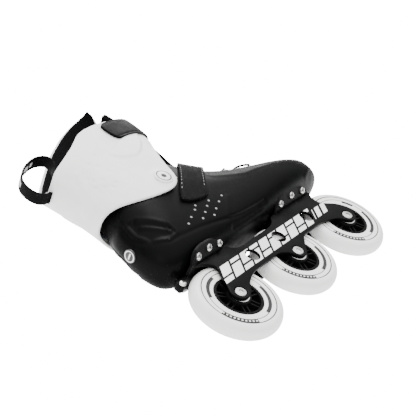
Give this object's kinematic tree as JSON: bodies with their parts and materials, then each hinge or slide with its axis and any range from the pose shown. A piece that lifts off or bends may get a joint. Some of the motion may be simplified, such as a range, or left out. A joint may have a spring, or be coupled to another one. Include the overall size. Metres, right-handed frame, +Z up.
{
  "type": "inline skate",
  "caption": "Inline skate lying on its side: hard boot with a hinged cuff, straps, lace and liner, on a frame with large wheels on bearings.",
  "frame": {"origin": "middle of the footprint of the skate lying on its left side, on the ground", "axes": "+X towards the toe, +Y towards the top of the cuff, +Z up; the skate rests on its rear wheel, the edge of its sole and its left cuff pivot"},
  "size_m": [0.3772, 0.3998, 0.1249],
  "materials": {
    "tyre": "smooth off-white cast polyurethane",
    "core": "black moulded nylon",
    "steel": "bright zinc-plated steel",
    "frame": "satin black anodised aluminium with a printed pattern of white bars",
    "shell": "satin black moulded plastic",
    "cuff": "white moulded plastic with a low gloss",
    "liner": "black padded lining fabric",
    "webbing": "black woven webbing"
  },
  "bodies": {
    "boot_and_frame": {"inner_race_rear_right": "steel", "inner_race_rear_left": "steel", "bearing_spacer_rear": "steel", "axle_rear": "steel", "inner_race_middle_right": "steel", "inner_race_middle_left": "steel", "bearing_spacer_middle": "steel", "axle_middle": "steel", "inner_race_front_right": "steel", "inner_race_front_left": "steel", "bearing_spacer_front": "steel", "axle_front": "steel", "frame": "frame", "plate_screw_rear_right_1": "steel", "plate_screw_rear_right_2": "steel", "plate_screw_rear_right_3": "steel", "plate_screw_rear_left_1": "steel", "plate_screw_rear_left_2": "steel", "plate_screw_rear_left_3": "steel", "plate_screw_front_right_1": "steel", "plate_screw_front_right_2": "steel", "plate_screw_front_right_3": "steel", "plate_screw_front_left_1": "steel", "plate_screw_front_left_2": "steel", "plate_screw_front_left_3": "steel", "heel_bolt": "steel", "boot_shell": "shell", "liner_foot": "liner", "footbed": "liner", "tongue_lower": "liner", "eyelet_right_1": "steel", "eyelet_left_1": "steel", "eyelet_right_2": "steel", "eyelet_left_2": "steel", "eyelet_right_3": "steel", "eyelet_left_3": "steel", "lace": "webbing", "cuff_pivot_right": "cuff", "cuff_pivot_left": "cuff", "instep_strap": "webbing"},
    "wheel_rear": {"tyre_rear": "tyre", "wheel_core_rear": "core", "outer_race_rear_right": "steel", "outer_race_rear_left": "steel"},
    "wheel_middle": {"tyre_middle": "tyre", "wheel_core_middle": "core", "outer_race_middle_right": "steel", "outer_race_middle_left": "steel"},
    "wheel_front": {"tyre_front": "tyre", "wheel_core_front": "core", "outer_race_front_right": "steel", "outer_race_front_left": "steel"},
    "cuff": {"cuff": "cuff", "liner_collar": "liner", "tongue_upper": "liner", "cuff_strap": "webbing", "pull_loop": "webbing"},
    "cuff_strap_flap": {"cuff_strap_flap": "webbing"},
    "instep_strap_flap": {"instep_strap_flap": "webbing"}
  },
  "joints": [
    {"name": "wheel_rear_spin", "type": "hinge", "parent": "boot_and_frame", "child": "wheel_rear", "pos_m": [-0.12572, -0.14599, 0.01928], "axis": [0.0549, 0.2004, -0.9782], "continuous": true},
    {"name": "wheel_middle_spin", "type": "hinge", "parent": "boot_and_frame", "child": "wheel_middle", "pos_m": [0.00408, -0.14599, 0.02657], "axis": [0.0549, 0.2004, -0.9782], "continuous": true},
    {"name": "wheel_front_spin", "type": "hinge", "parent": "boot_and_frame", "child": "wheel_front", "pos_m": [0.13387, -0.146, 0.03386], "axis": [0.0549, 0.2004, -0.9782], "continuous": true},
    {"name": "cuff_flex", "type": "hinge", "parent": "boot_and_frame", "child": "cuff", "pos_m": [-0.08057, 0.00979, 0.05373], "axis": [0.0549, 0.2004, -0.9782], "range_deg": [0, 12]},
    {"name": "cuff_strap_flap_open", "type": "hinge", "parent": "cuff", "child": "cuff_strap_flap", "pos_m": [-0.00031, 0.10124, 0.10991], "axis": [0.0758, 0.9786, 0.191], "range_deg": [0, 100]},
    {"name": "instep_strap_flap_open", "type": "hinge", "parent": "boot_and_frame", "child": "instep_strap_flap", "pos_m": [-0.00386, 0.01359, 0.0922], "axis": [-0.7369, 0.6678, 0.1048], "range_deg": [0, 100]}
  ]
}
